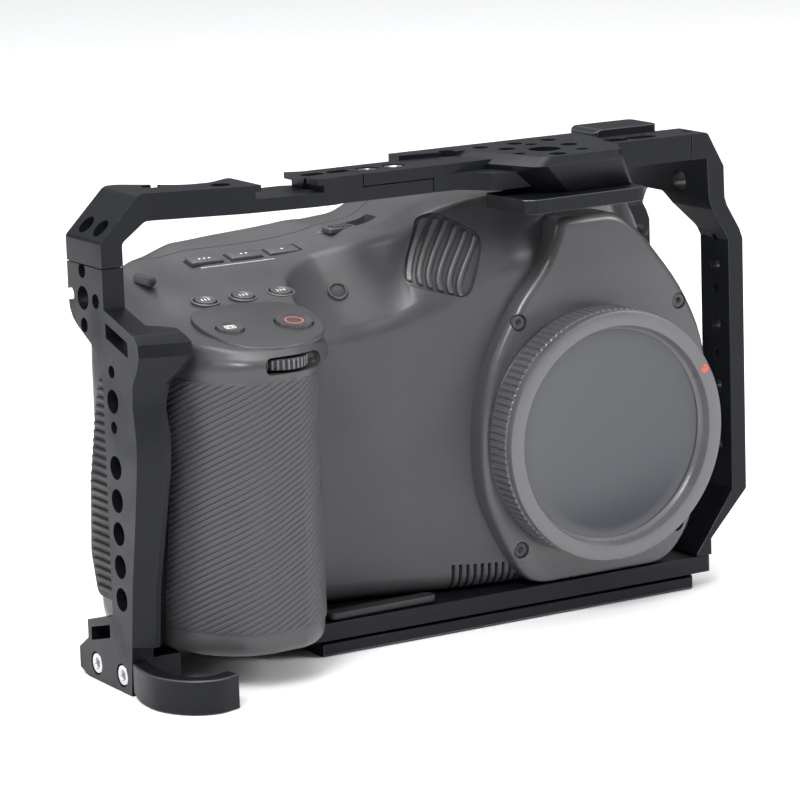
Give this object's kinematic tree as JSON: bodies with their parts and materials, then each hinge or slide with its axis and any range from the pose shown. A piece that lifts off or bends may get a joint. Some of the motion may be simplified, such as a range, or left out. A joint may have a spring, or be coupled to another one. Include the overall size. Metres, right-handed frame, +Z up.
{
  "type": "caged cinema camera",
  "caption": "Compact cinema camera in a black machined aluminium cage with a cold shoe, accessory holes, finger flange and base rail; caps, doors, screen and controls move.",
  "frame": {"origin": "on the underside of the base rail, straight below the lens axis", "axes": "+X to the right seen from the front, -Y the way the lens looks, +Z up"},
  "size_m": [0.2003, 0.1047, 0.1325],
  "materials": {
    "anodised": "satin black anodised",
    "steel": "satin",
    "camera_shell": "fine matte",
    "cap_plastic": "satin",
    "grip_rubber": "ribbed",
    "black_rubber": "matt",
    "dark_plastic": "matt",
    "screen_glass": "polished",
    "circuit": "matt"
  },
  "bodies": {
    "rig": {"base_plate": "anodised", "battery": "dark_plastic", "camera_screw": "steel", "cooling_fan": "dark_plastic", "dovetail_rail": "anodised", "eyepiece_cover": "dark_plastic", "foot_arm": "anodised", "front_pad": "black_rubber", "front_shell": "camera_shell", "grip_rubber": "grip_rubber", "housing_screw_1": "dark_plastic", "housing_screw_2": "dark_plastic", "housing_screw_3": "dark_plastic", "housing_screw_4": "dark_plastic", "lap_screw_1": "steel", "lap_screw_2": "steel", "left_arch": "anodised", "locating_key": "anodised", "main_board": "circuit", "mic_grille": "dark_plastic", "mount_ring": "steel", "nose_hook": "anodised", "rear_rail": "anodised", "rear_shell": "camera_shell", "right_frame": "anodised", "sensor_module": "dark_plastic", "side_plate": "anodised", "side_screw_1": "steel", "side_screw_2": "steel", "strap_lug_left": "steel", "strap_lug_right": "steel", "tally_lamp": "dark_plastic", "top_plate": "anodised"},
    "body_cap": {"body_cap": "cap_plastic"},
    "record_button": {"record_button": "dark_plastic"},
    "stills_button": {"stills_button": "dark_plastic"},
    "iso_button": {"iso_button": "dark_plastic"},
    "shutter_button": {"shutter_button": "dark_plastic"},
    "balance_button": {"balance_button": "dark_plastic"},
    "function_key_1": {"function_key_1": "dark_plastic"},
    "function_key_2": {"function_key_2": "dark_plastic"},
    "function_key_3": {"function_key_3": "dark_plastic"},
    "menu_button": {"menu_button": "dark_plastic"},
    "play_button": {"play_button": "dark_plastic"},
    "release_button": {"release_button": "dark_plastic"},
    "control_wheel": {"control_wheel": "dark_plastic"},
    "power_switch": {"power_switch": "dark_plastic"},
    "screen_arm": {"screen_arm": "steel"},
    "screen": {"screen_frame": "camera_shell", "screen_glass": "screen_glass"},
    "socket_door_low": {"socket_door_low": "black_rubber"},
    "socket_door_high": {"socket_door_high": "black_rubber"},
    "card_door": {"card_door": "black_rubber"},
    "battery_door": {"battery_door": "camera_shell"}
  },
  "joints": [
    {"name": "body_cap_pull", "type": "slide", "parent": "rig", "child": "body_cap", "axis": [0, -1, 0], "range_m": [0, 0.03]},
    {"name": "record_button_press", "type": "slide", "parent": "rig", "child": "record_button", "axis": [0, 0.1961, -0.9806], "range_m": [0, 0.0008], "stiffness_N_per_m": 400},
    {"name": "stills_button_press", "type": "slide", "parent": "rig", "child": "stills_button", "axis": [0, 0.1961, -0.9806], "range_m": [0, 0.0007], "stiffness_N_per_m": 400},
    {"name": "iso_button_press", "type": "slide", "parent": "rig", "child": "iso_button", "axis": [0, 0.1961, -0.9806], "range_m": [0, 0.0006], "stiffness_N_per_m": 400},
    {"name": "shutter_button_press", "type": "slide", "parent": "rig", "child": "shutter_button", "axis": [0, 0.1961, -0.9806], "range_m": [0, 0.0006], "stiffness_N_per_m": 400},
    {"name": "balance_button_press", "type": "slide", "parent": "rig", "child": "balance_button", "axis": [0, 0.1961, -0.9806], "range_m": [0, 0.0006], "stiffness_N_per_m": 400},
    {"name": "function_key_1_press", "type": "slide", "parent": "rig", "child": "function_key_1", "axis": [0, 0.1961, -0.9806], "range_m": [0, 0.0006], "stiffness_N_per_m": 400},
    {"name": "function_key_2_press", "type": "slide", "parent": "rig", "child": "function_key_2", "axis": [0, 0.1961, -0.9806], "range_m": [0, 0.0006], "stiffness_N_per_m": 400},
    {"name": "function_key_3_press", "type": "slide", "parent": "rig", "child": "function_key_3", "axis": [0, 0.1961, -0.9806], "range_m": [0, 0.0006], "stiffness_N_per_m": 400},
    {"name": "menu_button_press", "type": "slide", "parent": "rig", "child": "menu_button", "axis": [0, -1, 0], "range_m": [0, 0.0007], "stiffness_N_per_m": 400},
    {"name": "play_button_press", "type": "slide", "parent": "rig", "child": "play_button", "axis": [0, -1, 0], "range_m": [0, 0.0007], "stiffness_N_per_m": 400},
    {"name": "release_button_press", "type": "slide", "parent": "rig", "child": "release_button", "axis": [0, 1, 0], "range_m": [0, 0.001], "stiffness_N_per_m": 400},
    {"name": "control_wheel_turn", "type": "hinge", "parent": "rig", "child": "control_wheel", "pos_m": [-0.108, -0.0654, 0.0872], "axis": [0, 0, 1], "continuous": true},
    {"name": "power_switch_slide", "type": "slide", "parent": "rig", "child": "power_switch", "axis": [1, 0, 0], "range_m": [0, 0.005]},
    {"name": "screen_arm_swing", "type": "hinge", "parent": "rig", "child": "screen_arm", "pos_m": [-0.024, 0.0171, 0.016], "axis": [-1, 0, 0], "range_deg": [0, 40]},
    {"name": "screen_tilt", "type": "hinge", "parent": "screen_arm", "child": "screen", "pos_m": [-0.024, 0.0196, 0.0917], "axis": [1, 0, 0], "range_deg": [0, 80]},
    {"name": "socket_door_low_swing", "type": "hinge", "parent": "rig", "child": "socket_door_low", "pos_m": [0.0423, -0.03, 0.0395], "axis": [0, 0, -1], "range_deg": [0, 80]},
    {"name": "socket_door_high_swing", "type": "hinge", "parent": "rig", "child": "socket_door_high", "pos_m": [0.0423, -0.03, 0.0575], "axis": [0, 0, -1], "range_deg": [0, 80]},
    {"name": "card_door_swing", "type": "hinge", "parent": "rig", "child": "card_door", "pos_m": [-0.1388, -0.0176, 0.052], "axis": [0, 0, -1], "range_deg": [0, 75]},
    {"name": "battery_door_swing", "type": "hinge", "parent": "rig", "child": "battery_door", "pos_m": [-0.1008, -0.0443, 0.01185], "axis": [0, -1, 0], "range_deg": [0, 80]}
  ]
}
